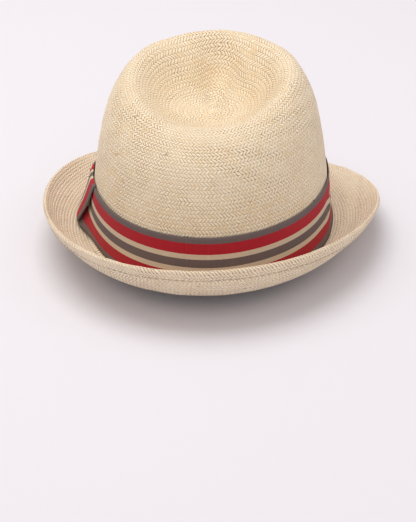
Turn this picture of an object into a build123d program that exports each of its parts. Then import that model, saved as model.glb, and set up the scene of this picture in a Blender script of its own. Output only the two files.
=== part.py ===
from build123d import *
import os
from math import atan2, cos, exp, pi, radians, sin

# Straw fedora. +Z is up, the front of the hat is -Y and the wearer's left is +X.
# The origin is the centre of the head opening, in the plane where crown and brim meet. Millimetres.

# Crown
HALF_WIDTH = 86.0
HALF_LENGTH = 104.0
STRAW = 1.4
CROWN_RINGS = 30
BREAK_RADIUS = 3.5

# Brim
BRIM_WIDTH = (39.1, 0.44, 3.7)
BRIM_LEFT_EXTRA = 1.0
BRIM_START_SLOPE = (3.4, 12.8)
BRIM_END_SLOPE = (45.3, 56.8, -15.6)
BRIM_TWIST = -7.2
HEM_WIDTH = 9.0
HEM_THICK = 2.9

# Ribbon
RIBBON = 38.0
RIBBON_THICK = 0.8
RIBBON_GAP = 0.6
BAND_LOW = 3.0
BAND_FLARE = 5.0
BAND_FLARE_AT = 78.0
BAND_TACKS = (0.0, 150.0, 210.0, 290.0)

# Bow on the left side; angles in degrees from the back of the hat
BOW_REAR = 77.0
BOW_FRONT = 112.0
BOW_THICK = 1.6
WRAP_REAR = 66.0
WRAP_SPAN = 22.5
WRAP_SLANT = 9.0
WRAP_LIFT = 2.2

# Sweatband
SWEAT_TALL = 34.0
SWEAT_THICK = 1.0
SWEAT_LOW = 1.0
REED_RADIUS = 0.45
REED_HIGH = 1.3
REED_TAPE = 0.2
TAPE_OFF = -STRAW - 0.45
PATCH_THICK = 0.4
CLEAR = 0.3

HEM_STITCH_BACK = 7.0
STITCH_RADIUS = 0.25
AROUND = 32


def harmonic(terms, phi):
    return sum(term * cos(order * phi) for order, term in enumerate(terms))


def bell(phi, at, width):
    """A smooth bump on both sides of the hat, centred at the angle from the back."""
    away = (abs(atan2(sin(phi), cos(phi))) - at) / width
    return exp(-away * away)


def crown_rows(phi):
    """Control rows of the crown's profile at one angle: share of the base oval, and height."""
    pinch = bell(phi, radians(146), radians(20))
    tip = bell(phi, pi, radians(22))
    rear = bell(phi, 0.0, radians(50))
    lip = 0.44 + 0.05 * cos(phi) - 0.08 * pinch + 0.07 * tip
    share = [
        1.0,
        0.975,
        harmonic((0.933, -0.014, 0.03), phi),
        harmonic((0.829, 0.002, -0.009), phi) - 0.02 * pinch,
        0.64 - 0.025 * pinch,
        lip,
        0.5 * lip,
        0.0,
    ]
    height = [
        0.0,
        35.0,
        75.0,
        harmonic((98.5, -3.5, -1.0), phi),
        harmonic((120.25, -13.0, -3.25), phi) - 1.5 * tip,
        harmonic((94.0, -2.0), phi) + 3 * tip + 5 * rear,
        85.0,
        87.0,
    ]
    return share, height


def bspline(rows, t):
    """Value at t of the clamped cubic B-spline with these control rows."""
    degree = 3
    spans = len(rows) - degree
    knots = [0.0] * degree + [i / spans for i in range(spans + 1)] + [1.0] * degree
    t = min(max(t, 0.0), 1 - 1e-9)
    span = degree
    while knots[span + 1] <= t:
        span += 1
    work = [rows[i + span - degree] for i in range(degree + 1)]
    for level in range(1, degree + 1):
        for i in range(degree, level - 1, -1):
            low = knots[i + span - degree]
            high = knots[i + 1 + span - level]
            share = (t - low) / (high - low)
            work[i] = (1 - share) * work[i - 1] + share * work[i]
    return work[degree]


def crown_point(t, phi):
    """Outer face of the crown, from its base at t = 0 to the middle of the dent at t = 1."""
    share, height = crown_rows(phi)
    k = bspline(share, t)
    return Vector(HALF_WIDTH * sin(phi) * k, HALF_LENGTH * cos(phi) * k, bspline(height, t))


def crown_normal(t, phi):
    step = 1e-3
    t = min(max(t, step), 0.995)
    along = crown_point(t + step, phi) - crown_point(t - step, phi)
    across = crown_point(t, phi + step) - crown_point(t, phi - step)
    return along.cross(across).normalized()


def plan_normal(phi):
    return Vector(sin(phi) / HALF_WIDTH, cos(phi) / HALF_LENGTH, 0).normalized()


def turn_at(height, phi):
    """The t at which the lower crown reaches this height."""
    low, high = 0.0, 0.6
    for _ in range(40):
        middle = (low + high) / 2
        if crown_point(middle, phi).Z < height:
            low = middle
        else:
            high = middle
    return low


def wall(phi, height, off):
    """Point at a height, this far outside the crown's outer face, measured in plan."""
    base = crown_point(turn_at(height, phi), phi)
    return Vector(base.X, base.Y, height) + plan_normal(phi) * off


def brim_slope(u, phi):
    start = harmonic(BRIM_START_SLOPE, phi)
    end = harmonic(BRIM_END_SLOPE, phi) + BRIM_TWIST * sin(2 * phi)
    return radians(start + (end - start) * max(u, 0.0) ** 1.08)


def brim_width(phi):
    return harmonic(BRIM_WIDTH, phi) + BRIM_LEFT_EXTRA * sin(phi)


def brim_run(u, phi):
    """Plan distance from the crown base and height of the brim's upper face."""
    steps = 24
    run = BREAK_RADIUS
    rise = 0.0
    for i in range(steps):
        slope = brim_slope(u * (i + 0.5) / steps, phi)
        run += brim_width(phi) * u / steps * cos(slope)
        rise += brim_width(phi) * u / steps * sin(slope)
    return run, rise


def brim_point(u, phi, below=0.0, past=0.0):
    """Point of the brim, a depth below its upper face and a distance past u along its slope."""
    run, rise = brim_run(u, phi)
    slope = brim_slope(u, phi)
    run += past * cos(slope) + below * sin(slope)
    rise += past * sin(slope) - below * cos(slope)
    base = Vector(HALF_WIDTH * sin(phi), HALF_LENGTH * cos(phi), 0)
    return base + plan_normal(phi) * run + Vector(0, 0, rise)


def break_point(share, phi, below=0.0):
    """Point of the rounded corner between crown and brim; share runs from the crown to the brim."""
    last = pi / 2 - brim_slope(0, phi)
    angle = last * share
    radius = BREAK_RADIUS + below
    base = Vector(HALF_WIDTH * sin(phi), HALF_LENGTH * cos(phi), BREAK_RADIUS)
    return base + plan_normal(phi) * (BREAK_RADIUS - radius * cos(angle)) + Vector(0, 0, -radius * sin(angle))


def ring(point_at):
    """Closed smooth curve through one point for each angle around the hat."""
    points = [point_at(2 * pi * i / AROUND) for i in range(AROUND)]
    return Wire([Edge.make_spline(points, periodic=True)])


def hem_depth(back):
    """Thickness of the brim this far back from its edge, with the fold's end tapered over 1 mm."""
    share = min(max((HEM_WIDTH - back) / 1.0, 0.0), 1.0)
    return STRAW + (HEM_THICK - STRAW) * share


def make_straw_body():
    """Crown and brim woven in one, with the brim's edge folded under into a hem."""
    crown_turns = [(i / CROWN_RINGS) ** 1.45 for i in range(1, CROWN_RINGS)]
    outer = [Vertex(*crown_point(1.0, 0.0))]
    for t in reversed(crown_turns):
        outer.append(ring(lambda phi, t=t: crown_point(t, phi)))
    upper_shares = (0.0, 0.04, 0.12, 0.22, 0.34, 0.46, 0.58, 0.7, 0.82, 0.92)
    top = [ring(lambda phi, share=share: break_point(share, phi)) for share in (0.25, 0.5, 0.75)]
    for u in upper_shares:
        top.append(ring(lambda phi, u=u: brim_point(u, phi)))
    edge_radius = HEM_THICK / 2

    def edge_ring(angle):
        turn = radians(angle)
        below = edge_radius - edge_radius * cos(turn)
        past = edge_radius * sin(turn) - edge_radius
        return ring(lambda phi: brim_point(1.0, phi, below, past))

    def under_ring(back):
        return ring(lambda phi: brim_point(1 - back / brim_width(phi), phi, hem_depth(back)))

    hem = [top[-1]]
    hem += [edge_ring(angle) for angle in range(0, 181, 30)]
    hem += [under_ring(back) for back in (4.0, 6.5, HEM_WIDTH - 1, HEM_WIDTH)]
    inner = [hem[-1]]
    inner += [under_ring(back) for back in (10.5, 13.0, 17.0, 21.0, 25.0, 29.0, 32.0)]
    inner.append(ring(lambda phi: brim_point(0.04, phi, STRAW)))
    for share in (1.0, 0.75, 0.5, 0.25):
        inner.append(ring(lambda phi, share=share: break_point(share, phi, STRAW)))
    for t in crown_turns:
        inner.append(ring(lambda phi, t=t: crown_point(t, phi) - crown_normal(t, phi) * STRAW))
    inner.append(Vertex(*(crown_point(1.0, 0.0) - Vector(0, 0, STRAW))))
    sheets = [
        Shell.make_loft(outer + top, ruled=True),
        Shell.make_loft(hem, ruled=True),
        Shell.make_loft(inner, ruled=True),
    ]
    faces = [face for sheet in sheets for face in sheet.faces()]
    return Solid(Shell(faces))


def closed_ring(profile):
    """Solid swept once around the hat: profile is a list of corner functions of the angle."""
    rings = [ring(corner) for corner in profile]
    return Solid(Shell(Shell.make_loft(rings + rings[:1], ruled=True).faces()))


def oval(radius_off, height):
    """Corner function of a plain oval ring, off millimetres from the crown base oval."""
    return lambda phi: Vector(HALF_WIDTH * sin(phi), HALF_LENGTH * cos(phi), height) + plan_normal(phi) * radius_off


def round_corners(centre_at, radius, count=8):
    """Corner functions of a round bar that follows centre_at(phi, out, up) around the hat."""
    corners = []
    for i in range(count):
        angle = 2 * pi * i / count
        corners.append(lambda phi, a=angle: centre_at(phi, radius * cos(a), radius * sin(a)))
    return corners


def patch_solid(point_at, heights, thick):
    """Curved piece of ribbon; point_at(share, height, off) runs from its rear end to its front end."""
    shares = [i / 10 for i in range(11)]
    sections = []
    for z in heights:
        outside = [point_at(share, z, thick) for share in shares]
        inside = [point_at(share, z, 0.0) for share in shares]
        edges = [
            Edge.make_spline(outside),
            Edge.make_line(outside[-1], inside[-1]),
            Edge.make_spline(inside[::-1]),
            Edge.make_line(inside[0], outside[0]),
        ]
        sections.append(Wire(edges))
    return Solid.make_loft(sections)


def bar(start, end, radius=STITCH_RADIUS):
    way = end - start
    return Solid.make_cylinder(radius, way.length, Plane(origin=start, z_dir=way))


def save(name, shape):
    export_step(shape, f"parts/{name}.step")


def make_hem_stitching():
    """Thread that sews the hem down, near the end of the fold on its underside."""

    def centre_at(phi, out, up):
        u = 1 - (HEM_STITCH_BACK - out) / brim_width(phi)
        return brim_point(u, phi, HEM_THICK + STITCH_RADIUS + 0.15 - up)

    return closed_ring(round_corners(centre_at, STITCH_RADIUS, 4))


def band_flare(phi, height):
    """How far the band's lower edge stands off the crown where the bow pushes it out."""
    drop = min(max((BAND_LOW + 20 - height) / 20, 0.0), 1.0)
    return BAND_FLARE * drop * drop * side_bell(phi, radians(BAND_FLARE_AT), radians(13))


def side_bell(phi, at, width):
    """A smooth bump on the left side only."""
    away = atan2(sin(phi - at), cos(phi - at)) / width
    return exp(-away * away)


def band_inner(phi, height):
    return wall(phi, height, RIBBON_GAP + band_flare(phi, height))


def band_outer(phi, height):
    return wall(phi, height, RIBBON_GAP + RIBBON_THICK + band_flare(phi, height))


def make_hat_band():
    """Striped ribbon around the crown, standing off the straw near the bow."""
    heights = [BAND_LOW + RIBBON * share for share in (0.0, 0.15, 0.3, 0.5, 1.0)]
    outside = [lambda phi, z=z: band_outer(phi, z) for z in heights]
    inside = [lambda phi, z=z: band_inner(phi, z) for z in reversed(heights)]
    return closed_ring(outside + inside)


def make_band_tacks():
    """Short thread tacks that hold the band's upper edge to the crown."""
    tacks = []
    top = BAND_LOW + RIBBON
    for degrees in BAND_TACKS:
        phi = radians(degrees)
        middle = wall(phi, top + STITCH_RADIUS + 0.05, RIBBON_GAP + RIBBON_THICK / 2)
        along = plan_normal(phi).cross(Vector(0, 0, 1)) * 1.5
        tacks.append(bar(middle - along, middle + along))
    return Compound(tacks)


def bow_off(phi, height):
    """Distance from the crown to the back of the bow's flat ribbon."""
    return RIBBON_GAP + RIBBON_THICK + CLEAR + band_flare(phi, height)


def make_bow_ribbon():
    """Flat folded ribbon of the bow, lying on the band under the wrap."""

    def point_at(share, z, off):
        phi = radians(BOW_REAR + (BOW_FRONT - BOW_REAR) * share)
        return wall(phi, z, bow_off(phi, z) + off)

    low = BAND_LOW + 0.6
    heights = [low + (RIBBON - 1.4) * share for share in (0.0, 0.12, 0.25, 0.4, 0.6, 0.8, 1.0)]
    return patch_solid(point_at, heights, BOW_THICK)


def wrap_flare(share):
    """Lift of the wrap's free lower end off the bow, for a share of the way down."""
    return WRAP_LIFT * max(share, 0.0) ** 2.2


def make_bow_wrap():
    """Full-width ribbon that crosses the bow from the band's top edge down to its free lower end."""
    top = BAND_LOW + RIBBON + 0.9
    low = BAND_LOW + 1.6

    def point_at(share, z, off):
        down = (top - z) / (top - low)
        phi = radians(WRAP_REAR + WRAP_SLANT * down + WRAP_SPAN * share)
        return wall(phi, z, bow_off(phi, z) + BOW_THICK + CLEAR + wrap_flare(down) + off)

    heights = [top + (low - top) * share for share in (0.0, 0.2, 0.4, 0.6, 0.8, 0.9, 1.0)]
    return patch_solid(point_at, heights[::-1], RIBBON_THICK)


def make_bow_stitches():
    """Thread bars that hold the wrap's upper end down on the bow."""
    stitches = []
    z = BAND_LOW + RIBBON - 3
    for share in (0.2, 0.5, 0.8):
        phi = radians(WRAP_REAR + 2 + WRAP_SPAN * share)
        off = bow_off(phi, z) + BOW_THICK + CLEAR + RIBBON_THICK + STITCH_RADIUS + 0.15
        middle = wall(phi, z, off)
        along = plan_normal(phi).cross(Vector(0, 0, 1)) * 1.5
        stitches.append(bar(middle - along, middle + along))
    return Compound(stitches)


def sweat_off():
    """Plan distance of the sweatband's outer face from the crown base oval; it hangs straight."""
    top = SWEAT_LOW + SWEAT_TALL
    angles = [2 * pi * i / 24 for i in range(24)]
    narrowest = min(bspline(crown_rows(phi)[0], turn_at(top, phi)) for phi in angles)
    return (narrowest - 1) * HALF_LENGTH - STRAW - CLEAR


def make_reed():
    """Thin plastic reed that keeps the head opening oval."""

    def centre_at(phi, out, up):
        return oval(TAPE_OFF - REED_TAPE - REED_RADIUS + out, REED_HIGH + up)(phi)

    return closed_ring(round_corners(centre_at, REED_RADIUS))


def make_reed_tape():
    """Tape folded over the reed, with its outer edge turned up behind the sweatband."""
    outer = TAPE_OFF
    inner = outer - 2 * REED_TAPE - 2 * REED_RADIUS
    low = REED_HIGH - REED_RADIUS - REED_TAPE
    top = REED_HIGH + 3.0
    corners = [
        oval(outer, top),
        oval(outer, low),
        oval(inner, low),
        oval(inner, REED_HIGH + REED_RADIUS),
        oval(inner + REED_TAPE, REED_HIGH + REED_RADIUS),
        oval(inner + REED_TAPE, low + REED_TAPE),
        oval(outer - REED_TAPE, low + REED_TAPE),
        oval(outer - REED_TAPE, top),
    ]
    return closed_ring(corners)


def make_sweatband(off):
    """Leather strip that rests against the forehead, joined at the back."""
    top = SWEAT_LOW + SWEAT_TALL
    corners = [oval(off, SWEAT_LOW), oval(off, top), oval(off - SWEAT_THICK, top), oval(off - SWEAT_THICK, SWEAT_LOW)]
    return closed_ring(corners)


def inside_patch(off, centre, half_arc, low, high, thick):
    """Thin patch on the sweatband's inner face, centred on an angle, half_arc degrees to each side."""
    inner = off - SWEAT_THICK - 0.05

    def point_at(share, z, deep):
        phi = radians(centre - half_arc + 2 * half_arc * share)
        return oval(inner - deep, z)(phi)

    return patch_solid(point_at, [low, (low + high) / 2, high], thick)


def make_sweat_seam(off):
    """Thread along the sweatband's lower edge, on its inner face."""
    middle = off - SWEAT_THICK - STITCH_RADIUS - 0.05

    def centre_at(phi, out, up):
        return oval(middle + out, SWEAT_LOW + 3 + up)(phi)

    return closed_ring(round_corners(centre_at, STITCH_RADIUS, 4))


def make_join_stitches(off):
    """Zigzag of thread down the join at the back of the sweatband."""
    stitches = []
    inner = off - SWEAT_THICK - 0.05 - PATCH_THICK - STITCH_RADIUS - 0.05
    for i in range(4):
        low = SWEAT_LOW + 14 + 5 * i
        left = oval(inner, low)(radians(0.9))
        right = oval(inner, low + 1.5)(radians(-0.9))
        stitches.append(bar(left, right))
    return Compound(stitches)


def make_bow_loops(off):
    """The two flat loops of the small bow at the back of the sweatband."""
    loops = []
    for side in (-1, 1):
        loops.append(inside_patch(off - PATCH_THICK - 0.1, side * 4.6, 3.4, SWEAT_LOW + 4.5, SWEAT_LOW + 10.5, 1.4))
    return Compound(loops)


def make_bow_knot(off):
    return inside_patch(off - PATCH_THICK - 0.1, 0.0, 1.05, SWEAT_LOW + 5, SWEAT_LOW + 10, 1.9)


os.makedirs("parts", exist_ok=True)
save("straw_body", make_straw_body())
save("hem_stitching", make_hem_stitching())
save("hat_band", make_hat_band())
save("band_tacks", make_band_tacks())
save("bow_ribbon", make_bow_ribbon())
save("bow_wrap", make_bow_wrap())
save("bow_stitches", make_bow_stitches())
save("reed", make_reed())
save("reed_tape", make_reed_tape())
sweat = sweat_off()
save("sweatband", make_sweatband(sweat))
save("sweatband_join_tape", inside_patch(sweat, 0.0, 3.5, SWEAT_LOW + 12, SWEAT_LOW + SWEAT_TALL - 1, PATCH_THICK))
save("sweatband_join_stitches", make_join_stitches(sweat))
save("sweatband_seam", make_sweat_seam(sweat))
save("sweatband_bow_loops", make_bow_loops(sweat))
save("sweatband_bow_knot", make_bow_knot(sweat))
save("size_label", inside_patch(sweat, 150.0, 7.0, SWEAT_LOW + 8, SWEAT_LOW + 22, PATCH_THICK))
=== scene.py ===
import math

import bpy
import numpy as np
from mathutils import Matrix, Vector


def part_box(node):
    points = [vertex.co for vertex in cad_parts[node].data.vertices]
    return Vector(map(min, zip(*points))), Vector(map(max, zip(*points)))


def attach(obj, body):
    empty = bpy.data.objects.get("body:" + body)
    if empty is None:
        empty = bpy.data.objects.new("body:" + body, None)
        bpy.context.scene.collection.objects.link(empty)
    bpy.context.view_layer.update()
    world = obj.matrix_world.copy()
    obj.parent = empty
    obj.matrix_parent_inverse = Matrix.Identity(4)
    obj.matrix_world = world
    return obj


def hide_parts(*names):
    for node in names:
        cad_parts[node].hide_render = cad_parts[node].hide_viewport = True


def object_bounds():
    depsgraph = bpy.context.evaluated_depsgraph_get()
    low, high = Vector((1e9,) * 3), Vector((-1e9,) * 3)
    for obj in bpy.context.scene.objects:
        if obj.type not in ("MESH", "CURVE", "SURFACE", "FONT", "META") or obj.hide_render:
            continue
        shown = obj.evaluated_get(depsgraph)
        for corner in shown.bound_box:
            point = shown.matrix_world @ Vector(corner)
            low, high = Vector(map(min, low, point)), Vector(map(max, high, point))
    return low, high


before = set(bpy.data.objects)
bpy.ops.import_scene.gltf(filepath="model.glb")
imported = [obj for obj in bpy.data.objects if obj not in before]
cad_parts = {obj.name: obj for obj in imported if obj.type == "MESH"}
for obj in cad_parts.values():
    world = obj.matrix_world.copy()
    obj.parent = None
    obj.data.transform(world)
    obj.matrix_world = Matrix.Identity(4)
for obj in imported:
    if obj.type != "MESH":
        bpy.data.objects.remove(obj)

CAD_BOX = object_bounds()
MM = 0.001

# Driving dimensions of the hat, in millimetres; angles run from the back of the hat to its left side.
HALF_WIDTH, HALF_LENGTH = 86.0, 104.0
STRAW = 1.4
BREAK_RADIUS = 3.5
HEM_WIDTH, HEM_THICK = 9.0, 2.9
RIBBON, RIBBON_THICK, RIBBON_GAP, BAND_LOW = 38.0, 0.8, 0.6, 3.0
SWEAT_TALL, SWEAT_LOW, SWEAT_THICK = 34.0, 1.0, 1.0
ROW_PITCH = 2.9
STRAND_PITCH = 2.8
STRIPES = (4.2, 8.0, 3.7, 6.2, 3.7, 8.0, 4.2)


# ---------------------------------------------------------------- shape of the hat

def harmonic(terms, phi):
    return sum(term * np.cos(order * phi) for order, term in enumerate(terms))


def wrapped(phi):
    return np.arctan2(np.sin(phi), np.cos(phi))


def bell(phi, at, width):
    """Bump on both sides of the hat."""
    return np.exp(-(((np.abs(wrapped(phi)) - at) / width) ** 2))


def side_bell(phi, at, width):
    """Bump on one side only."""
    return np.exp(-((wrapped(phi - at) / width) ** 2))


def crown_rows(phi):
    one = np.ones_like(phi)
    pinch = bell(phi, math.radians(146), math.radians(20))
    tip = bell(phi, math.pi, math.radians(22))
    rear = bell(phi, 0.0, math.radians(50))
    lip = 0.44 + 0.05 * np.cos(phi) - 0.08 * pinch + 0.07 * tip
    share = [
        one,
        0.975 * one,
        harmonic((0.933, -0.014, 0.03), phi),
        harmonic((0.829, 0.002, -0.009), phi) - 0.02 * pinch,
        0.64 - 0.025 * pinch,
        lip,
        0.5 * lip,
        0 * one,
    ]
    height = [
        0 * one,
        35 * one,
        75 * one,
        harmonic((98.5, -3.5, -1.0), phi),
        harmonic((120.25, -13.0, -3.25), phi) - 1.5 * tip,
        harmonic((94.0, -2.0), phi) + 3 * tip + 5 * rear,
        85 * one,
        87 * one,
    ]
    return np.array(share), np.array(height)


def basis(t, count=8, degree=3):
    """Weights of the control rows of a clamped cubic B-spline at t, one t per entry."""
    t = np.clip(np.atleast_1d(t), 0, 1 - 1e-9)
    spans = count - degree
    knots = np.array([0.0] * degree + [i / spans for i in range(spans + 1)] + [1.0] * degree)
    weights = [((knots[i] <= t) & (t < knots[i + 1])).astype(float) for i in range(len(knots) - 1)]
    for level in range(1, degree + 1):
        following = []
        for i in range(len(knots) - 1 - level):
            value = np.zeros_like(t)
            if knots[i + level] > knots[i]:
                value = value + (t - knots[i]) / (knots[i + level] - knots[i]) * weights[i]
            if knots[i + level + 1] > knots[i + 1]:
                rest = (knots[i + level + 1] - t) / (knots[i + level + 1] - knots[i + 1])
                value = value + rest * weights[i + 1]
            following.append(value)
        weights = following
    return np.array(weights[:count])


def crown(t, phi):
    """Outer face of the crown: t and phi of one shape give points of that shape plus xyz."""
    t, phi = np.broadcast_arrays(np.asarray(t, float), np.asarray(phi, float))
    share, height = crown_rows(phi)
    weights = basis(t.ravel()).reshape((8,) + t.shape)
    k = (share * weights).sum(0)
    z = (height * weights).sum(0)
    return np.stack([HALF_WIDTH * np.sin(phi) * k, HALF_LENGTH * np.cos(phi) * k, z], -1)


def crown_normal(t, phi):
    t = np.clip(t, 1e-3, 0.995)
    step = 1e-3
    along = crown(t + step, phi) - crown(t - step, phi)
    across = crown(t, phi + step) - crown(t, phi - step)
    n = np.cross(along, across)
    return n / np.linalg.norm(n, axis=-1, keepdims=True)


def plan_normal(phi):
    n = np.stack([np.sin(phi) / HALF_WIDTH, np.cos(phi) / HALF_LENGTH, 0 * phi], -1)
    return n / np.linalg.norm(n, axis=-1, keepdims=True)


def turn_at(height, phi):
    low = np.zeros_like(phi)
    high = np.full_like(phi, 0.6)
    for _ in range(30):
        middle = (low + high) / 2
        below = crown(middle, phi)[..., 2] < height
        low = np.where(below, middle, low)
        high = np.where(below, high, middle)
    return low


def wall(phi, height, off):
    """Point at a height, off millimetres outside the crown's outer face."""
    phi, height, off = np.broadcast_arrays(np.asarray(phi, float), np.asarray(height, float),
        np.asarray(off, float))
    base = crown(turn_at(np.maximum(height, 0.0), phi), phi).copy()
    base[..., 2] = height
    return base + plan_normal(phi) * off[..., None]


def brim_slope(u, phi):
    start = harmonic((3.4, 12.8), phi)
    end = harmonic((45.3, 56.8, -15.6), phi) - 7.2 * np.sin(2 * phi)
    return np.radians(start + (end - start) * np.maximum(u, 0.0) ** 1.08)


def brim_width(phi):
    return harmonic((39.1, 0.44, 3.7), phi) + 1.0 * np.sin(phi)


def brim(u, phi, below=0.0, past=0.0):
    """Point of the brim, a depth below its upper face and a distance past u along its slope."""
    u, phi = np.broadcast_arrays(np.asarray(u, float), np.asarray(phi, float))
    steps = 24
    run = np.full_like(u, BREAK_RADIUS)
    rise = np.zeros_like(u)
    for i in range(steps):
        slope = brim_slope(u * (i + 0.5) / steps, phi)
        run = run + brim_width(phi) * u / steps * np.cos(slope)
        rise = rise + brim_width(phi) * u / steps * np.sin(slope)
    slope = brim_slope(u, phi)
    run = run + past * np.cos(slope) + below * np.sin(slope)
    rise = rise + past * np.sin(slope) - below * np.cos(slope)
    base = np.stack([HALF_WIDTH * np.sin(phi), HALF_LENGTH * np.cos(phi), 0 * phi], -1)
    point = base + plan_normal(phi) * run[..., None]
    point[..., 2] += rise
    return point


def break_ring(share, phi, below=0.0):
    """Rounded corner between crown and brim."""
    angle = (math.pi / 2 - brim_slope(0.0 * phi, phi)) * share
    radius = BREAK_RADIUS + below
    base = np.stack([HALF_WIDTH * np.sin(phi), HALF_LENGTH * np.cos(phi), 0 * phi + BREAK_RADIUS], -1)
    point = base + plan_normal(phi) * (BREAK_RADIUS - radius * np.cos(angle))[..., None]
    point[..., 2] -= radius * np.sin(angle)
    return point


def oval(off, height, phi):
    base = np.stack([HALF_WIDTH * np.sin(phi), HALF_LENGTH * np.cos(phi), 0 * phi + height], -1)
    return base + plan_normal(phi) * np.asarray(off)[..., None]


def soft_noise(points, size, seed=0.0):
    """Smooth lumps from about -1 to 1 at points in millimetres, as a sum of waves in fixed directions."""
    total = np.zeros(points.shape[:-1])
    for i in range(9):
        turn, tilt = 2.4 * i + seed, 1.1 * i * i + 0.7 * seed
        way = np.array([math.cos(turn) * math.cos(tilt), math.sin(turn) * math.cos(tilt), math.sin(tilt)])
        total += np.sin(points @ way * (2 * math.pi / size) * (0.7 + 0.09 * i) + 1.9 * i + seed)
    return total / 3.5


# ---------------------------------------------------------------- meshes

def signed_volume(points, faces):
    total = 0.0
    for face in faces:
        a = points[face[:, 0]]
        for i in range(1, face.shape[1] - 1):
            total += np.einsum("ij,ij->i", a, np.cross(points[face[:, i]], points[face[:, i + 1]])).sum()
    return total


def build(name, points, faces, uvs, material, body="hat", node=None):
    """Mesh object from points in millimetres, lists of equal-sided faces, and one uv per face corner."""
    if signed_volume(points, faces) < 0:
        faces = [face[:, ::-1] for face in faces]
        uvs = [uv[:, ::-1] for uv in uvs]
    mesh = bpy.data.meshes.new(name)
    corners = np.concatenate([face.ravel() for face in faces])
    sides = np.concatenate([np.full(len(face), face.shape[1]) for face in faces])
    mesh.vertices.add(len(points))
    mesh.vertices.foreach_set("co", (points * MM).ravel())
    mesh.loops.add(len(corners))
    mesh.loops.foreach_set("vertex_index", corners.astype(np.int32))
    mesh.polygons.add(len(sides))
    starts = np.concatenate([[0], np.cumsum(sides)[:-1]])
    mesh.polygons.foreach_set("loop_start", starts.astype(np.int32))
    layer = mesh.uv_layers.new(name="weave")
    layer.data.foreach_set("uv", np.concatenate([uv.reshape(-1) for uv in uvs]).astype(np.float32))
    mesh.update(calc_edges=True)
    mesh.validate()
    mesh.shade_smooth()
    mesh.materials.append(material)
    thing = bpy.data.objects.new(name, mesh)
    bpy.context.scene.collection.objects.link(thing)
    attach(thing, body)
    if node:
        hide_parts(node)
    return thing


def around(rings, u_counts, v_values, first_pole=None, last_pole=None, loop=False):
    """Quads between rings of equal length; u_counts and v_values give each strip its uv."""
    rows, columns = rings.shape[:2]
    points = rings.reshape(-1, 3)
    strips = rows if loop else rows - 1
    i = np.arange(strips)[:, None]
    j = np.arange(columns)[None, :]
    below = (i + 1) % rows
    beside = (j + 1) % columns
    quads = np.stack(
        [i * columns + j + 0 * below, i * columns + beside, below * columns + beside, below * columns + j], -1
    ).reshape(-1, 4)
    turn = np.arange(columns) / columns
    following = turn + 1 / columns
    uv = np.zeros((strips, columns, 4, 2))
    counts = np.asarray(u_counts)[:, None]
    uv[..., 0, 0] = counts * turn
    uv[..., 1, 0] = counts * following
    uv[..., 2, 0] = counts * following
    uv[..., 3, 0] = counts * turn
    low = np.asarray([pair[0] for pair in v_values])[:, None]
    high = np.asarray([pair[1] for pair in v_values])[:, None]
    uv[..., 0, 1] = low
    uv[..., 1, 1] = low
    uv[..., 2, 1] = high
    uv[..., 3, 1] = high
    faces = [quads]
    uvs = [uv.reshape(-1, 4, 2)]
    for pole, row, flip in ((first_pole, 0, False), (last_pole, rows - 1, True)):
        if pole is None:
            continue
        points = np.concatenate([points, pole[None, :]])
        centre = len(points) - 1
        a = row * columns + np.arange(columns)
        b = row * columns + (np.arange(columns) + 1) % columns
        fan = np.stack([np.full(columns, centre), b, a] if not flip else [np.full(columns, centre), a, b], -1)
        faces.append(fan)
        whole = math.floor(v_values[0][0] if not flip else v_values[-1][1] - 0.01)
        corner = np.zeros((columns, 3, 2))
        corner[..., 0] = (turn * 7)[:, None]
        corner[..., 1] = whole + np.array([0.5, 0.7, 0.7])
        uvs.append(corner)
    return points, faces, uvs


def perimeter(ring):
    return np.linalg.norm(ring - np.roll(ring, -1, axis=0), axis=-1).sum()


def strand_count(ring):
    return max(6, round(perimeter(ring) / STRAND_PITCH))


def ribbon_strip(sections, widths, lengths):
    """Closed strip of ribbon: sections[i] is the loop of points around cross-section i; ends are capped.

    widths gives each point of a loop its place across the ribbon, lengths gives each section its
    place along it; both in millimetres, and they become the uv.
    """
    count, sides = sections.shape[:2]
    points = sections.reshape(-1, 3)
    i = np.arange(count - 1)[:, None]
    j = np.arange(sides)[None, :]
    beside = (j + 1) % sides
    quads = np.stack([i * sides + j, i * sides + beside, (i + 1) * sides + beside, (i + 1) * sides + j], -1)
    uv = np.zeros((count - 1, sides, 4, 2))
    uv[..., 0, 1] = widths[None, :]
    uv[..., 1, 1] = np.roll(widths, -1)[None, :]
    uv[..., 2, 1] = uv[..., 1, 1]
    uv[..., 3, 1] = uv[..., 0, 1]
    uv[..., 0, 0] = lengths[:-1, None]
    uv[..., 1, 0] = lengths[:-1, None]
    uv[..., 2, 0] = lengths[1:, None]
    uv[..., 3, 0] = lengths[1:, None]
    faces = [quads.reshape(-1, 4)]
    uvs = [uv.reshape(-1, 4, 2)]
    half = sides // 2
    for row, flip in ((0, True), (count - 1, False)):
        near = row * sides + np.arange(half)
        far = row * sides + sides - 1 - np.arange(half)
        cap = np.stack([near[:-1], near[1:], far[1:], far[:-1]], -1)
        corner = np.zeros((half - 1, 4, 2))
        corner[:, 0, 1] = widths[: half - 1]
        corner[:, 1, 1] = widths[1:half]
        corner[:, 2, 1] = widths[1:half]
        corner[:, 3, 1] = widths[: half - 1]
        corner[..., 0] = lengths[row]
        faces.append(cap[:, ::-1] if flip else cap)
        uvs.append(corner[:, ::-1] if flip else corner)
    return points, faces, uvs


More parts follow.
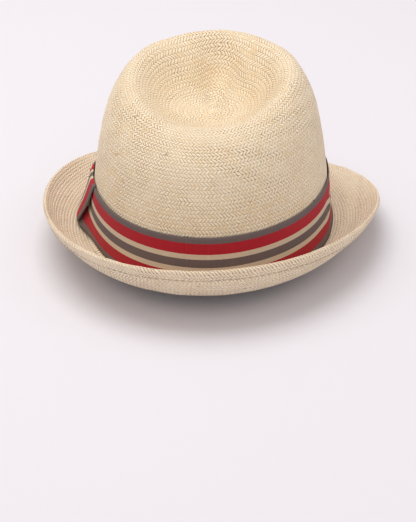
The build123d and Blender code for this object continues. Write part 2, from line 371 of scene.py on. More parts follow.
def capsules(ends, radius, sides=8):
    """Rounded, slightly fat-bellied thread stitches between pairs of points."""
    points, faces, uvs = [], [], []
    profile = [(-0.0, 0.25), (0.06, 0.8), (0.25, 1.05), (0.5, 1.12), (0.75, 1.05), (0.94, 0.8), (1.0, 0.25)]
    for start, end in ends:
        way = end - start
        length = np.linalg.norm(way)
        way = way / length
        across = np.cross(way, [0.0, 0.0, 1.0])
        if np.linalg.norm(across) < 0.1:
            across = np.cross(way, [0.0, 1.0, 0.0])
        across = across / np.linalg.norm(across)
        up = np.cross(across, way)
        angles = np.arange(sides) * 2 * math.pi / sides
        loops = []
        for share, width in profile:
            circle = across[None] * np.cos(angles)[:, None] + up[None] * np.sin(angles)[:, None]
            loops.append(start + way * length * share + circle * radius * width)
        rings = np.array(loops)
        values = [(length * a[0], length * b[0]) for a, b in zip(profile, profile[1:])]
        p, f, uv = around(rings, [4] * (len(profile) - 1), values, start - way * radius * 0.2,
            end + way * radius * 0.2)
        shift = sum(len(q) for q in points)
        points.append(p)
        faces.append([face + shift for face in f])
        uvs.append(uv)
    quads = np.concatenate([f[0] for f in faces])
    fans = np.concatenate([np.concatenate(f[1:]) for f in faces])
    quad_uv = np.concatenate([uv[0] for uv in uvs])
    fan_uv = np.concatenate([np.concatenate(uv[1:]) for uv in uvs])
    return np.concatenate(points), [quads, fans], [quad_uv, fan_uv]


# ---------------------------------------------------------------- materials

class Graph:
    """Short spelling for shader nodes."""

    def __init__(self, name):
        self.material = bpy.data.materials.new(name)
        self.material.use_nodes = True
        self.tree = self.material.node_tree
        self.tree.nodes.clear()
        self.out = self.tree.nodes.new("ShaderNodeOutputMaterial")
        self.bsdf = self.tree.nodes.new("ShaderNodeBsdfPrincipled")
        self.tree.links.new(self.bsdf.outputs[0], self.out.inputs[0])

    def put(self, socket, value):
        if isinstance(value, bpy.types.NodeSocket):
            self.tree.links.new(value, socket)
        else:
            socket.default_value = value

    def math(self, kind, *values, clamp=False):
        node = self.tree.nodes.new("ShaderNodeMath")
        node.operation = kind
        node.use_clamp = clamp
        for socket, value in zip(node.inputs, values):
            self.put(socket, value)
        return node.outputs[0]

    def uv(self):
        node = self.tree.nodes.new("ShaderNodeUVMap")
        node.uv_map = "weave"
        split = self.tree.nodes.new("ShaderNodeSeparateXYZ")
        self.put(split.inputs[0], node.outputs[0])
        return split.outputs[0], split.outputs[1]

    def place(self):
        return self.tree.nodes.new("ShaderNodeTexCoord").outputs["Object"]

    def join(self, x, y, z=0.0):
        node = self.tree.nodes.new("ShaderNodeCombineXYZ")
        for socket, value in zip(node.inputs, (x, y, z)):
            self.put(socket, value)
        return node.outputs[0]

    def noise(self, vector, scale, detail=3.0, rough=0.5):
        node = self.tree.nodes.new("ShaderNodeTexNoise")
        self.put(node.inputs["Vector"], vector)
        node.inputs["Scale"].default_value = scale
        node.inputs["Detail"].default_value = detail
        node.inputs["Roughness"].default_value = rough
        return node.outputs["Fac"]

    def random(self, vector):
        node = self.tree.nodes.new("ShaderNodeTexWhiteNoise")
        node.noise_dimensions = "3D"
        self.put(node.inputs["Vector"], vector)
        return node.outputs["Value"]

    def cells(self, vector, scale):
        node = self.tree.nodes.new("ShaderNodeTexVoronoi")
        node.feature = "DISTANCE_TO_EDGE"
        self.put(node.inputs["Vector"], vector)
        node.inputs["Scale"].default_value = scale
        return node.outputs["Distance"]

    def ramp(self, value, stops, kind="LINEAR"):
        node = self.tree.nodes.new("ShaderNodeValToRGB")
        node.color_ramp.interpolation = kind
        elements = node.color_ramp.elements
        elements.remove(elements[1])
        elements[0].position = stops[0][0]
        elements[0].color = (*stops[0][1], 1.0)
        for place, colour in stops[1:]:
            elements.new(place).color = (*colour, 1.0)
        self.put(node.inputs[0], value)
        return node.outputs[0]

    def mix(self, share, first, second, kind="MIX"):
        node = self.tree.nodes.new("ShaderNodeMix")
        node.data_type = "RGBA"
        node.blend_type = kind
        self.put(node.inputs[0], share)
        for socket, value in ((node.inputs[6], first), (node.inputs[7], second)):
            self.put(socket, value if isinstance(value, bpy.types.NodeSocket) else (*value[:3], 1.0))
        return node.outputs[2]

    def bump(self, height, distance, strength=1.0, normal=None):
        node = self.tree.nodes.new("ShaderNodeBump")
        node.inputs["Strength"].default_value = strength
        node.inputs["Distance"].default_value = distance
        self.put(node.inputs["Height"], height)
        if normal:
            self.put(node.inputs["Normal"], normal)
        return node.outputs[0]

    def finish(self, colour, rough, normal, **fixed):
        self.put(self.bsdf.inputs["Base Color"], colour)
        self.put(self.bsdf.inputs["Roughness"], rough)
        self.put(self.bsdf.inputs["Normal"], normal)
        for name, value in fixed.items():
            self.bsdf.inputs[name.replace("_", " ")].default_value = value
        return self.material


def straw_material(name, light, tan, shade_tone, relief, openness, dent_shade_rows=None):
    """Twill-woven straw; uv counts strands along u and rows of the weave along v."""
    g = Graph(name)
    u, v = g.uv()
    place = g.place()
    row = g.math("FLOOR", v)
    across = g.math("FRACT", v)
    lean = g.math("SUBTRACT", g.math("MULTIPLY", g.math("FLOORED_MODULO", row, 2.0), 2.0), 1.0)
    skew = g.math("MULTIPLY", lean, g.math("MULTIPLY", g.math("SUBTRACT", across, 0.5), 0.95))
    wander = g.math("MULTIPLY", g.math("SUBTRACT", g.noise(place, 240.0, 2.0), 0.5), 1.1)
    phase = g.math("ADD", g.math("ADD", u, skew), g.math("ADD", wander, g.math("MULTIPLY", row, 0.37)))
    strand = g.math("FLOOR", phase)
    along = g.math("FRACT", phase)
    chance = g.random(g.join(strand, row, 3.0))
    other = g.random(g.join(strand, row, 11.0))
    side = g.math("POWER", g.math("SINE", g.math("MULTIPLY", along, math.pi)), 0.6)
    end = g.math("POWER", g.math("SINE", g.math("MULTIPLY", across, math.pi)), 0.28)
    round_ = g.math("MULTIPLY", side, end)
    lift = g.math("MULTIPLY", round_, g.math("ADD", 0.7, g.math("MULTIPLY", chance, 0.45)))
    fibre = g.noise(g.join(g.math("MULTIPLY", phase, 9.0), g.math("MULTIPLY", across, 1.4), strand), 1.0,
        4.0, 0.6)
    patch = g.noise(place, 26.0, 3.0)
    tone = g.math("ADD", g.math("MULTIPLY", chance, 0.42), g.math("MULTIPLY", patch, 0.55))
    tone = g.math("ADD", tone, g.math("MULTIPLY", g.math("SUBTRACT", fibre, 0.5), 0.45), clamp=True)
    colour = g.ramp(tone, [(0.15, tan), (0.5, light), (0.85, tuple(min(1.0, c * 1.06) for c in light))])
    # Painted shade: rows around the dent (centre row and reach given by dent_shade_rows) are tinted tan,
    # broken up by noise, for the shade on the dent's inner walls.
    if dent_shade_rows:
        away = g.math("DIVIDE", g.math("SUBTRACT", v, dent_shade_rows[0]), dent_shade_rows[1])
        ring = g.math("SUBTRACT", 1.0, g.math("MULTIPLY", away, away), clamp=True)
        dent_shade_cloud = g.math("MULTIPLY", g.math("SUBTRACT", g.noise(place, 34.0, 2.0), 0.3), 2.2, clamp=True)
        colour = g.mix(g.math("MULTIPLY", g.math("MULTIPLY", ring, dent_shade_cloud), 0.55), colour, tan)
    fleck = g.math("GREATER_THAN", other, 0.995)
    fleck = g.math("MULTIPLY", fleck, g.math("GREATER_THAN", g.noise(place, 620.0, 2.0), 0.56))
    colour = g.mix(g.math("MULTIPLY", fleck, 0.7), colour, (0.36, 0.22, 0.11))
    # Painted shade: strand edges and the open holes of the weave are mixed towards the third straw colour,
    # for the shade between and behind the strands.
    gap_shade = g.math("SUBTRACT", 1.0, g.math("MULTIPLY", side, 1.5), clamp=True)
    gap_shade = g.math("MULTIPLY", gap_shade, g.math("ADD", 0.25, g.math("MULTIPLY", other, 0.9)), clamp=True)
    split = g.tree.nodes.new("ShaderNodeSeparateXYZ")
    g.put(split.inputs[0], place)
    high = g.math("MULTIPLY", g.math("SUBTRACT", split.outputs[2], 0.055), 30.0, clamp=True)
    loose = g.math("MULTIPLY", g.math("SUBTRACT", g.noise(g.join(u, row, 5.0), 0.11, 2.0), 0.47), 9.0,
        clamp=True)
    loose = g.math("MULTIPLY", loose, g.math("ADD", openness, g.math("MULTIPLY", high, 1.0 - openness)))
    hole = g.math("SUBTRACT", 1.0, g.math("MULTIPLY", round_, 1.9), clamp=True)
    hole = g.math("MULTIPLY", hole, g.math("ADD", g.math("MULTIPLY", chance, 1.3),
        g.math("MULTIPLY", loose, 1.5)), clamp=True)
    gap_shade = g.math("MAXIMUM", gap_shade, hole)
    colour = g.mix(gap_shade, colour, shade_tone)
    height = g.math("ADD", lift, g.math("MULTIPLY", fibre, 0.16))
    rough = g.math("ADD", 0.46, g.math("MULTIPLY", fibre, 0.28))
    normal = g.bump(height, relief)
    return g.finish(colour, rough, normal, Specular_IOR_Level=0.3, Sheen_Weight=0.12, Sheen_Roughness=0.5)


def ribbon_material(name, stops, width, rib=0.9, relief=0.00022):
    """Grosgrain: ribs across the ribbon, stripes along it; uv are millimetres along and across."""
    g = Graph(name)
    u, v = g.uv()
    place = g.place()
    shake = g.math("MULTIPLY", g.math("SUBTRACT", g.noise(place, 900.0, 1.0), 0.5), 0.35)
    edge_shift = g.math("MULTIPLY", g.math("SUBTRACT",
        g.noise(g.join(g.math("MULTIPLY", u, 2.0), v), 1.0, 1.0), 0.5), 0.25)
    share = g.math("DIVIDE", g.math("ADD", v, edge_shift), width)
    colour = g.ramp(share, stops, "CONSTANT")
    wave = g.math("SINE", g.math("MULTIPLY", g.math("ADD", u, shake), 2 * math.pi / rib))
    ribs = g.math("ADD", 0.5, g.math("MULTIPLY", wave, 0.5))
    thread = g.noise(g.join(g.math("MULTIPLY", u, 1.2), g.math("MULTIPLY", v, 7.0)), 1.0, 3.0, 0.6)
    fade = g.noise(place, 55.0, 3.0)
    # Painted shade and highlight: each stripe colour is darkened in the rib grooves and lightened on the rib
    # crests, mixed with random thread and fade variation.
    shade = g.math("ADD", g.math("MULTIPLY", ribs, 0.5), g.math("MULTIPLY", thread, 0.3))
    shade = g.math("ADD", shade, g.math("MULTIPLY", fade, 0.25))
    shade_tone = g.mix(1.0, colour, (0.74, 0.70, 0.70), "MULTIPLY")
    light = g.mix(0.025, colour, (0.86, 0.8, 0.76))
    colour = g.mix(g.math("MULTIPLY", shade, 1.15, clamp=True), shade_tone, light)
    height = g.math("ADD", ribs, g.math("MULTIPLY", thread, 0.35))
    rough = g.math("ADD", 0.62, g.math("MULTIPLY", thread, 0.22))
    return g.finish(colour, rough, g.bump(height, relief), Specular_IOR_Level=0.2, Sheen_Weight=0.06,
        Sheen_Roughness=0.45)


def thread_material(name, colour):
    g = Graph(name)
    place = g.place()
    u, v = g.uv()
    twist = g.math("SINE", g.math("ADD", g.math("MULTIPLY", v, 9.0), g.math("MULTIPLY", u, 2 * math.pi / 2)))
    fuzz = g.noise(place, 2600.0, 2.0)
    # Painted shade: the thread colour darkens along the twist grooves, mixed with random fuzz.
    shade = g.math("ADD", g.math("MULTIPLY", twist, 0.25), fuzz, clamp=True)
    tone = g.mix(shade, tuple(c * 0.62 for c in colour), colour)
    height = g.math("ADD", g.math("MULTIPLY", twist, 0.5), fuzz)
    return g.finish(tone, g.math("ADD", 0.6, g.math("MULTIPLY", fuzz, 0.25)), g.bump(height, 0.00008),
        Sheen_Weight=0.2)


def tape_material(name, colour):
    """Plain-woven cotton tape."""
    g = Graph(name)
    place = g.place()
    split = g.tree.nodes.new("ShaderNodeSeparateXYZ")
    g.put(split.inputs[0], place)
    x, y, z = split.outputs
    slow = g.math("MULTIPLY", g.math("ADD", x, y), 2 * math.pi / 0.0007)
    rise = g.math("MULTIPLY", z, 2 * math.pi / 0.0007)
    weave = g.math("MULTIPLY", g.math("SINE", slow), g.math("SINE", rise))
    lint = g.noise(place, 700.0, 3.0)
    # Painted shade: the tape colour darkens in the weave's hollows, mixed with random lint.
    shade = g.math("ADD", g.math("MULTIPLY", weave, 0.3), lint, clamp=True)
    tone = g.mix(shade, tuple(c * 0.72 for c in colour), colour)
    height = g.math("ADD", weave, lint)
    return g.finish(tone, g.math("ADD", 0.7, g.math("MULTIPLY", lint, 0.2)), g.bump(height, 0.00012),
        Sheen_Weight=0.15)


def leather_material():
    g = Graph("sweat leather")
    place = g.place()
    pores = g.cells(place, 1500.0)
    folds = g.noise(place, 120.0, 5.0, 0.6)
    stain = g.noise(place, 22.0, 3.0)
    grain = g.math("MINIMUM", g.math("MULTIPLY", pores, 6.0), 1.0)
    colour = g.ramp(stain, [(0.3, (0.23, 0.125, 0.07)), (0.55, (0.34, 0.2, 0.115)),
        (0.75, (0.42, 0.26, 0.16))])
    # Painted shade: the leather colour is pulled towards deep brown along the grain's creases, where the bump
    # is lowest.
    colour = g.mix(g.math("MULTIPLY", g.math("SUBTRACT", 1.0, grain), 0.45), colour, (0.13, 0.07, 0.04))
    height = g.math("ADD", g.math("MULTIPLY", grain, 0.5), folds)
    rough = g.math("ADD", 0.38, g.math("MULTIPLY", folds, 0.25))
    return g.finish(colour, rough, g.bump(height, 0.00025), Specular_IOR_Level=0.4, Coat_Weight=0.08,
        Coat_Roughness=0.4)


def plastic_material():
    g = Graph("reed plastic")
    place = g.place()
    scuff = g.noise(place, 180.0, 4.0)
    colour = g.mix(scuff, (0.72, 0.69, 0.62), (0.82, 0.8, 0.74))
    return g.finish(colour, g.math("ADD", 0.35, g.math("MULTIPLY", scuff, 0.2)), g.bump(scuff, 0.00005))


RED, GREY, CREAM = (0.56, 0.006, 0.022), (0.19, 0.145, 0.138), (0.84, 0.71, 0.52)


def stripe_stops():
    """Seven stripes from one selvedge to the other, as places on a colour ramp."""
    stops = []
    reach = 0.0
    for width, colour in zip(STRIPES, (GREY, RED, CREAM, GREY, CREAM, RED, GREY)):
        stops.append((reach / sum(STRIPES), colour))
        reach += width
    return stops


# The third straw colour is the painted shade between strands; the crown's last argument places painted shade
# on the dent's inner walls.
straw = straw_material("crown straw", (0.95, 0.80, 0.57), (0.84, 0.65, 0.39), (0.40, 0.25, 0.12), 0.00052,
    0.45, (15.0, 8.0))
brim_straw = straw_material("brim straw", (0.93, 0.78, 0.57), (0.82, 0.64, 0.42), (0.38, 0.23, 0.12),
    0.0006, 1.0)
ribbon = ribbon_material("striped grosgrain", stripe_stops(), sum(STRIPES))
small_ribbon = ribbon_material("brown ribbon", [(0.0, (0.10, 0.055, 0.035)), (0.5, (0.12, 0.07, 0.045))],
    10.0, 0.5, 0.00008)
straw_thread = thread_material("straw thread", (0.72, 0.6, 0.42))
grey_thread = thread_material("grey thread", (0.12, 0.1, 0.095))
tape = tape_material("cotton tape", (0.62, 0.54, 0.42))
label_cloth = tape_material("label cloth", (0.78, 0.74, 0.66))
leather = leather_material()
reed_plastic = plastic_material()


# ---------------------------------------------------------------- straw crown and brim

def row_starts():
    """Crown turns at which rows of the weave begin, from the dent's middle down to the base."""
    t = np.linspace(0, 1, 801)
    phi = np.radians(np.arange(0, 360, 30))
    grid = crown(t[:, None], phi[None, :])
    steps = np.linalg.norm(np.diff(grid, axis=0), axis=-1).mean(1)
    reach = np.concatenate([[0], np.cumsum(steps)])
    rows = int(reach[-1] / ROW_PITCH)
    return np.interp(np.linspace(reach[-1], 0, rows + 1), reach, t)


def make_crown():
    columns = 420
    phi = np.arange(columns) * 2 * math.pi / columns
    starts = row_starts()
    base = turn_at(np.full_like(phi, BREAK_RADIUS), phi)
    last = float(base.mean())
    starts = starts[starts > last + 0.004]
    starts = np.append(starts, last)
    rings, counts, values = [], [], []
    inside = [(0.0, 0.0), (0.3, 0.8), (0.7, 0.8)]
    for k in range(1, len(starts) - 1):
        here, there = starts[k], starts[k + 1]
        count = strand_count(crown((here + there) / 2, phi))
        for n, (share, bulge) in enumerate(inside):
            t = here + (there - here) * share
            t = np.full_like(phi, t)
            if k > len(starts) - 12:
                t = t + (base - last) * (1 - (t - last) / (starts[len(starts) - 12] - last))
            lift = 0.16 * bulge - 0.05
            rings.append(crown(t, phi) + crown_normal(t, phi) * lift)
            counts.append(count)
            following = inside[n + 1][0] if n + 1 < len(inside) else 1.0
            values.append((k + share, k + following))
    rings.append(wall(phi, BREAK_RADIUS, 0.0))
    outer = np.array(rings)
    waviness = soft_noise(outer, 34.0, 3.0) * 0.28 + soft_noise(outer, 13.0, 7.0) * 0.12
    radial = outer / np.linalg.norm(outer, axis=-1, keepdims=True)
    fade = np.clip((outer[..., 2] - 6) / 20, 0, 1)
    outer = outer + radial * (waviness * fade)[..., None]
    inner_rings = [wall(phi, BREAK_RADIUS, -STRAW)]
    inner_counts, inner_values = [strand_count(outer[-1])], [(len(starts), len(starts) + 0.5)]
    coarse = starts[::-1][2:-2:2]
    for n, t in enumerate(coarse):
        t = np.full_like(phi, t)
        ring = crown(t, phi) - crown_normal(t, phi) * STRAW
        inner_rings.append(ring)
        inner_counts.append(strand_count(ring))
        inner_values.append((2 * n, 2 * n + 2))
    rings = np.concatenate([outer, np.array(inner_rings)])
    top = crown(1.0, 0.0)
    points, faces, uvs = around(
        rings, counts + inner_counts, values + inner_values, top, top - np.array([0, 0, STRAW])
    )
    return build("straw_crown", points, faces, uvs, straw, node="straw_body")


def hem_depth(back):
    return STRAW + (HEM_THICK - STRAW) * np.clip((HEM_WIDTH - back) / 0.6, 0.0, 1.0)


def make_brim():
    columns = 560
    phi = np.arange(columns) * 2 * math.pi / columns
    rings, counts, values = [], [], []

    def add(ring, low, high, count):
        rings.append(ring)
        counts.append(count)
        values.append((low, high))

    rows = 15
    ripple = 0.35 * np.sin(9 * phi + 1.3) + 0.25 * np.sin(23 * phi)
    for share, low, high in ((0.0, 0.0, 0.5), (0.5, 0.5, 1.0)):
        ring = break_ring(share + 0 * phi, phi)
        add(ring, low, high, strand_count(ring))
    for k in range(rows):
        middle = brim((k + 0.5) / rows * 0.96, phi)
        count = strand_count(middle)
        for share, following, bulge in ((0.0, 0.3, 0.0), (0.3, 0.7, 0.8), (0.7, 1.0, 0.8)):
            u = (k + share) / rows * 0.955
            lift = 0.26 * bulge - 0.05
            add(brim(u, phi, -lift), 1 + k + share, 1 + k + following, count)
    edge = HEM_THICK / 2
    count = strand_count(brim(1.0, phi))
    for n, degrees in enumerate((0, 30, 60, 90, 120, 150, 180)):
        turn = math.radians(degrees)
        fat = edge * (1.08 if 30 <= degrees <= 150 else 1.0)
        ring = brim(1.0 + 0 * phi, phi, edge - fat * math.cos(turn), fat * math.sin(turn) - edge)
        add(ring, 16 + n * 0.28, 16 + (n + 1) * 0.28, count)
    backs = [2.2, 3.2, 4.2, 5.2, 6.2, 6.9, 7.4, 8.2, 8.8, HEM_WIDTH - 0.1, HEM_WIDTH + 0.5]
    for n, back in enumerate(backs):
        dip = 0.35 if 6.5 < back < 7.2 else 0.0
        here = back + (ripple * 0.5 if back > 8 else 0)
        u = 1 - here / brim_width(phi)
        add(brim(u, phi, hem_depth(back) - dip), 19 + n * 0.4, 19 + (n + 1) * 0.4, count)
    under = 12
    stop = 1 - (HEM_WIDTH + 1.6) / 40.0
    for k in range(under):
        middle = brim(stop * (1 - (k + 0.5) / under), phi)
        count = strand_count(middle)
        for share, following, bulge in ((0.0, 0.5, 0.0), (0.5, 1.0, 0.8)):
            u = stop * (1 - (k + share) / under)
            lift = 0.22 * bulge
            add(brim(np.minimum(u, 1 - (HEM_WIDTH + 0.9) / brim_width(phi)), phi, STRAW + lift),
                26 + k + share, 26 + k + following, count)
    for share, low, high in ((0.95, 40.0, 40.5), (0.45, 40.5, 41.0), (0.0, 41.0, 41.5)):
        ring = break_ring(share + 0 * phi, phi, STRAW)
        add(ring, low, high, strand_count(ring))
    rings = np.array(rings)
    outward = np.clip((np.linalg.norm(rings[..., :2], axis=-1) - 110) / 40, 0, 1)
    lumps = soft_noise(rings, 22.0, 5.0) * 0.7 + soft_noise(rings, 9.0, 2.0) * 0.2
    rings[..., 2] += lumps * outward
    points, faces, uvs = around(rings, counts, values, loop=True)
    return build("straw_brim", points, faces, uvs, brim_straw, node="straw_body")


make_crown()
make_brim()


# ---------------------------------------------------------------- ribbon band and bow

def band_flare(phi, height):
    drop = np.clip((BAND_LOW + 20 - height) / 20, 0.0, 1.0)
    wide = 5.0 * side_bell(phi, math.radians(78.0), math.radians(13))
    return (wide + 3.0 * side_bell(phi, math.radians(76.0), math.radians(6))) * drop * drop


def closed_strip(point_at, columns, width_points, thick):
    """Ribbon once around the hat. point_at(phi, across, off) takes the place across from the lower edge."""
    phi = np.arange(columns) * 2 * math.pi / columns
    across = np.linspace(0, RIBBON, width_points)
    rings = [point_at(phi, a, thick - (0.25 if i in (0, width_points - 1) else 0.0)) for i,
        a in enumerate(across)]
    rings += [point_at(phi, a, 0.0) for a in across[::-1]]
    rings = np.array(rings)
    length = perimeter(rings[width_points // 2])
    places = list(RIBBON - across) + list((RIBBON - across)[::-1])
    values = list(zip(places, places[1:] + places[:1]))
    return around(rings, [length] * len(rings), values, loop=True)


def make_band():
    def point_at(phi, a, off):
        lifted = side_bell(phi, math.radians(72), math.radians(38))
        waver = 0.2 * np.sin(3 * phi + 1.0) + 0.12 * np.sin(7 * phi) - 2.5 * (1 - lifted)
        height = np.maximum(BAND_LOW + a + waver, 0.35)
        fillet = BREAK_RADIUS * (1 - np.sqrt(1 - np.clip(1 - height / BREAK_RADIUS, 0, 1) ** 2))
        loose = 0.2 + 0.2 * np.sin(5 * phi + 0.6) * math.cos(a / RIBBON * 2.4)
        fold = side_bell(phi, math.radians(-88), math.radians(2.4)) * math.exp(-(((a - 22) / 7) ** 2))
        swell = side_bell(phi, math.radians(-82), math.radians(5)) * math.exp(-(((a - 9) / 8) ** 2))
        curl = 0.25 * abs(2 * a / RIBBON - 1) ** 6
        stand = RIBBON_GAP + loose * 0.7 + 1.3 * fold + 0.8 * swell + curl
        return wall(phi, height, stand + fillet + band_flare(phi, BAND_LOW + a) + off)

    points, faces, uvs = closed_strip(point_at, 900, 25, 0.6)
    band = build("ribbon_band", points, faces, uvs, ribbon, node="hat_band")
    return band


def patch(point_at, shares, acrosses, thick):
    """Sections for ribbon_strip: point_at(share along, place across, off the back face)."""
    edge = np.full(len(acrosses), thick)
    edge[[0, -1]] *= 0.6
    front = point_at(shares[:, None], acrosses[None, :], edge[None, :])
    back = point_at(shares[:, None], acrosses[None, ::-1], 0.0 * edge[None, :])
    return np.concatenate([front, back], axis=1)


def bow_off(phi, height):
    return RIBBON_GAP + 0.75 + band_flare(phi, height)


def make_bow_ribbon():
    """Flat folded ribbon of the bow, under the wrap; its stripes run along the band's."""
    shares = np.linspace(0, 1, 61)
    acrosses = np.linspace(0, RIBBON - 1.2, 24)
    rear, front = math.radians(77), math.radians(112)

    def point_at(share, a, off):
        phi = rear + (front - rear) * share
        height = BAND_LOW + 0.6 + a
        end = np.exp(-share / 0.03) + np.exp(-(1 - share) / 0.03)
        puff = 0.3 * np.sin(math.pi * np.minimum(share * 4, 1.0)) * np.sin(math.pi * a / RIBBON)
        return wall(phi, height, bow_off(phi, height) + (off + puff * (off > 0)) * (1 - 0.25 * end))

    sections = patch(point_at, shares, acrosses, 0.6)
    length = np.linalg.norm(np.diff(sections[:, 12], axis=0), axis=-1)
    lengths = np.concatenate([[0], np.cumsum(length)])
    places = RIBBON - 0.6 - acrosses
    widths = np.concatenate([places, places[::-1]])
    points, faces, uvs = ribbon_strip(sections, widths, lengths)
    bow = build("bow_ribbon_folded", points, faces, uvs, ribbon, node="bow_ribbon")
    return bow


def wrap_off(share, across):
    """Distance of the wrap's back face from the crown, flaring towards its free lower end."""
    return 1.6 + 0.7 * np.minimum(across / 12, 1.0) + 8.0 * share**1.6


def make_bow_wrap():
    """Full-width ribbon crossing the bow, tucked over the band's top edge and standing off at the bottom."""
    shares = np.linspace(0, 1, 60)
    acrosses = np.linspace(0, RIBBON, 25)
    top, low = BAND_LOW + RIBBON + 0.9, BAND_LOW + 1.6

    def point_at(share, a, off):
        height = top + (low - top) * share + 0 * a
        phi = np.radians(64.5 + 10.5 * share + 22.5 * a / RIBBON)
        tuck = 1.3 * np.exp(-share / 0.03)
        sag = 0.5 * np.sin(math.pi * a / RIBBON) * np.sin(math.pi * share)
        ripple = 0.35 * np.sin(7.0 * share + 1.0) * np.sin(math.pi * share) * (1 - a / RIBBON)
        return wall(phi, height, wrap_off(share, a) + sag + ripple - tuck + off)

    sections = patch(point_at, shares, acrosses, RIBBON_THICK)
    length = np.linalg.norm(np.diff(sections[:, 12], axis=0), axis=-1)
    lengths = np.concatenate([[0], np.cumsum(length)])
    widths = np.concatenate([acrosses, acrosses[::-1]])
    points, faces, uvs = ribbon_strip(sections, widths, lengths)
    wrap = build("bow_ribbon_wrap", points, faces, uvs, ribbon, node="bow_wrap")
    return wrap


make_band()
make_bow_ribbon()
make_bow_wrap()


# ---------------------------------------------------------------- stitches

def make_hem_stitches():
    ends = []
    count = 170
    for i in range(count):
        pair = []
        for part in (0.0, 0.6):
            phi = np.array(2 * math.pi * (i + part) / count)
            u = 1 - 7.0 / brim_width(phi)
            pair.append(brim(u, phi, HEM_THICK + 0.05))
        ends.append(pair)
    points, faces, uvs = capsules(ends, 0.27)
    return build("hem_stitches", points, faces, uvs, straw_thread, node="hem_stitching")


def make_small_bars(name, node, places):
    ends = []
    for degrees, height, off in places:
        phi = np.array(math.radians(degrees))
        middle = wall(phi, height, off)
        along = np.cross(plan_normal(phi), [0.0, 0.0, 1.0]) * 1.5
        ends.append((middle - along, middle + along))
    points, faces, uvs = capsules(ends, 0.25)
    return build(name, points, faces, uvs, grey_thread, node=node)


make_hem_stitches()
tack_high = BAND_LOW + RIBBON - 2.3
make_small_bars("band_tack_threads", "band_tacks", [(d, tack_high, 0.75) for d in (0.0, 150.0, 210.0, 290.0)])
stitch_high = BAND_LOW + RIBBON - 3
make_small_bars(
    "bow_stitch_threads", "bow_stitches",
    [(66 + 22.5 * s, stitch_high, 3.45) for s in (0.2, 0.5, 0.8)],
)


# ---------------------------------------------------------------- sweatband and what is on it

low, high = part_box("sweatband")
SWEAT_OUT = high[0] / MM - HALF_WIDTH
SWEAT_IN = SWEAT_OUT - SWEAT_THICK


def make_sweatband():
    """Leather strip with a rounded upper edge, slightly wavy like worn leather."""
    columns = 360
    phi = np.arange(columns) * 2 * math.pi / columns
    top = SWEAT_LOW + SWEAT_TALL
    heights = np.linspace(SWEAT_LOW, top - 0.4, 26)
    wave = 0.25 * np.sin(6 * phi) + 0.2 * np.sin(11 * phi + 2)
    rings = []
    for z in heights:
        rings.append(oval(np.full_like(phi, SWEAT_OUT), z, phi))
    rings.append(oval(np.full_like(phi, SWEAT_OUT - 0.2), top - 0.1, phi))
    rings.append(oval(np.full_like(phi, SWEAT_OUT - 0.5), top, phi))
    rings.append(oval(np.full_like(phi, SWEAT_IN + 0.2), top - 0.1, phi))
    for z in heights[::-1]:
        pull = -wave * ((z - SWEAT_LOW) / SWEAT_TALL) ** 2
        groove = 0.25 * math.exp(-(((z - SWEAT_LOW - 3) / 0.5) ** 2))
        rings.append(oval(SWEAT_IN + np.minimum(pull, 0.1) * 0.6 + groove, z, phi))
    rings = np.array(rings)
    values = [(i, i + 1) for i in range(len(rings))]
    points, faces, uvs = around(rings, [560] * len(rings), values, loop=True)
    band = build("sweatband_leather", points, faces, uvs, leather, "sweatband_part", "sweatband")
    return band


def inner_patch(name, node, material, centre, half, low, high, thick, puff=0.0, off=0.05):
    """Small piece of cloth on the sweatband's inner face; degrees around, millimetres in height."""
    shares = np.linspace(0, 1, 25)
    acrosses = np.linspace(0, high - low, 13)

    def point_at(share, a, out):
        phi = np.radians(centre - half + 2 * half * share) + 0 * a
        round_ = np.sin(math.pi * np.clip(share, 0.0, 1.0)).clip(0, 1) ** 0.6
        return oval(SWEAT_IN - off - out * (1.0 + puff * round_), low + a, phi)

    sections = patch(point_at, shares, acrosses, thick)
    widths = np.concatenate([acrosses, acrosses[::-1]])
    points, faces, uvs = ribbon_strip(sections, widths, shares * 2 * math.radians(half) * HALF_LENGTH)
    return build(name, points, faces, uvs, material, "sweatband_part", node)


def make_seam():
    ends = []
    count = 150
    off = np.array(SWEAT_IN - 0.12)
    for i in range(count):
        ends.append([oval(off, SWEAT_LOW + 3,
            np.array(2 * math.pi * (i + part) / count)) for part in (0.0, 0.62)])
    points, faces, uvs = capsules(ends, 0.25)
    return build("sweatband_seam_stitches", points, faces, uvs, straw_thread, "sweatband_part",
        "sweatband_seam")


def make_join_stitches():
    ends = []
    off = np.array(SWEAT_IN - 0.55)
    for i in range(13):
        low = SWEAT_LOW + 13 + 1.4 * i
        side = 1 if i % 2 else -1
        ends.append((oval(off, low, np.array(math.radians(0.9 * side))),
            oval(off, low + 1.4, np.array(math.radians(-0.9 * side)))))
    points, faces, uvs = capsules(ends, 0.22)
    return build("join_stitches", points, faces, uvs, straw_thread, "sweatband_part",
        "sweatband_join_stitches")


make_sweatband()
inner_patch("join_tape", "sweatband_join_tape", tape, 0.0, 3.5, SWEAT_LOW + 12,
    SWEAT_LOW + SWEAT_TALL - 1, 0.4)
label = inner_patch("size_label_cloth", "size_label", label_cloth, 150.0, 7.0,
    SWEAT_LOW + 8, SWEAT_LOW + 22, 0.4)
inner_patch("small_bow_left_loop", "sweatband_bow_loops", small_ribbon, 4.6, 3.4,
    SWEAT_LOW + 4.5, SWEAT_LOW + 10.5, 0.9, 0.6, 0.5)
inner_patch("small_bow_right_loop", "sweatband_bow_loops", small_ribbon, -4.6, 3.4,
    SWEAT_LOW + 4.5, SWEAT_LOW + 10.5, 0.9, 0.6, 0.5)
inner_patch("small_bow_knot", "sweatband_bow_knot", small_ribbon, 0.0, 1.05,
    SWEAT_LOW + 5, SWEAT_LOW + 10, 1.5, 0.3, 0.5)
make_seam()
make_join_stitches()

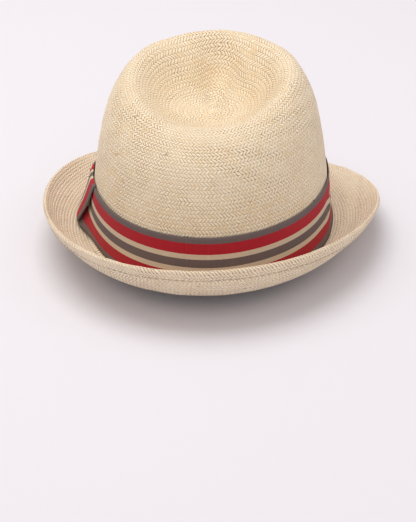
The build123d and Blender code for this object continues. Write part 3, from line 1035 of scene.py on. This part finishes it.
def make_reed_tape():
    """Tape folded over the reed, its outer edge turned up behind the sweatband."""
    reed_height = 1.3
    fold = 0.65
    inner_fold = 0.5
    tape_thick = 0.15
    phi = np.arange(240) * 2 * math.pi / 240
    outer = -STRAW - 0.45
    middle = outer - fold
    down = np.radians(range(0, -181, -20))
    back = np.radians(range(-180, 1, 20))
    bend = [(middle + fold * math.cos(turn), reed_height + fold * math.sin(turn)) for turn in down]
    inside = [(middle + inner_fold * math.cos(turn),
        reed_height + inner_fold * math.sin(turn)) for turn in back]
    profile = [(outer, 4.2), (outer, 2.8)] + bend + [(middle - fold, 1.7), (middle - inner_fold, 1.75)]
    profile += inside + [(outer - tape_thick, 2.8), (outer - tape_thick, 4.25)]
    rings = np.array([oval(np.full_like(phi, off), height, phi) for off, height in profile])
    values = [(0.5 * i, 0.5 * i + 0.5) for i in range(len(profile))]
    points, faces, uvs = around(rings, [560] * len(profile), values, loop=True)
    return build("reed_tape_folded", points, faces, uvs, tape, node="reed_tape")


make_reed_tape()
reed_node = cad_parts["reed"]
reed_node.data.materials.clear()
reed_node.data.materials.append(reed_plastic)


# ---------------------------------------------------------------- stage, light and camera

def plain_material(name, colour):
    g = Graph(name)
    dust = g.noise(g.place(), 3.0, 2.0)
    tone = g.mix(dust, colour, tuple(min(1.0, c * 1.02) for c in colour))
    g.put(g.bsdf.inputs["Base Color"], tone)
    g.bsdf.inputs["Roughness"].default_value = 0.9
    return g.material


def make_floor():
    level = CAD_BOX[0][2] - 0.0005
    size = 6.0
    mesh = bpy.data.meshes.new("floor")
    mesh.from_pydata([(-size, -size, level), (size, -size, level), (size, size, level),
        (-size, size, level)], [], [(0, 1, 2, 3)])
    mesh.materials.append(plain_material("floor", (0.80, 0.785, 0.82)))
    floor = bpy.data.objects.new("floor", mesh)
    bpy.context.scene.collection.objects.link(floor)


def aim(thing, spot):
    way = Vector(spot) - thing.location
    thing.rotation_euler = way.to_track_quat("-Z", "Y").to_euler()


def area_light(name, place, size, power, colour=(1, 1, 1)):
    light = bpy.data.lights.new(name, "AREA")
    light.shape = "DISK"
    light.size = size
    light.energy = power
    light.color = colour
    thing = bpy.data.objects.new(name, light)
    thing.location = place
    bpy.context.scene.collection.objects.link(thing)
    aim(thing, (0, 0, 0.06))


make_floor()
area_light("top softbox", (0.3, -0.2, 1.5), 1.3, 14.0, (1.0, 0.975, 0.94))
area_light("rear fill", (-0.5, 1.6, 0.9), 1.4, 3.5, (0.97, 0.97, 1.0))
world = bpy.data.worlds.new("studio")
world.use_nodes = True
world.node_tree.nodes["Background"].inputs[0].default_value = (0.95, 0.91, 0.94, 1)
world.node_tree.nodes["Background"].inputs[1].default_value = 0.66
bpy.context.scene.world = world
bpy.context.scene.view_settings.view_transform = "Standard"

# The view is from behind and a little to the hat's right, looking down; the hat sits high in the frame.
ELEVATION, TURN = math.radians(26.2), math.radians(-9.1)
DISTANCE, FOCAL_PIXELS = 1.514, 2116.0
RAISE, SHIFT_SIDE = 104.6, 2.8
back = Vector((math.sin(TURN) * math.cos(ELEVATION), math.cos(TURN) * math.cos(ELEVATION),
    math.sin(ELEVATION)))
target = Vector((0, 0, 0.05))
right = (-back).cross(Vector((0, 0, 1))).normalized()
up = right.cross(-back)
tip_down = math.atan(RAISE / FOCAL_PIXELS)
look = (-back * math.cos(tip_down) - up * math.sin(tip_down)).normalized()
look = (look - right * math.tan(SHIFT_SIDE / FOCAL_PIXELS)).normalized()
camera_data = bpy.data.cameras.new("camera")
camera_data.sensor_width = 36.0
camera_data.lens = FOCAL_PIXELS * 36.0 / 522.0
camera = bpy.data.objects.new("camera", camera_data)
camera.location = target + back * DISTANCE
camera.rotation_euler = look.to_track_quat("-Z", "Y").to_euler()
bpy.context.scene.collection.objects.link(camera)
bpy.context.scene.camera = camera
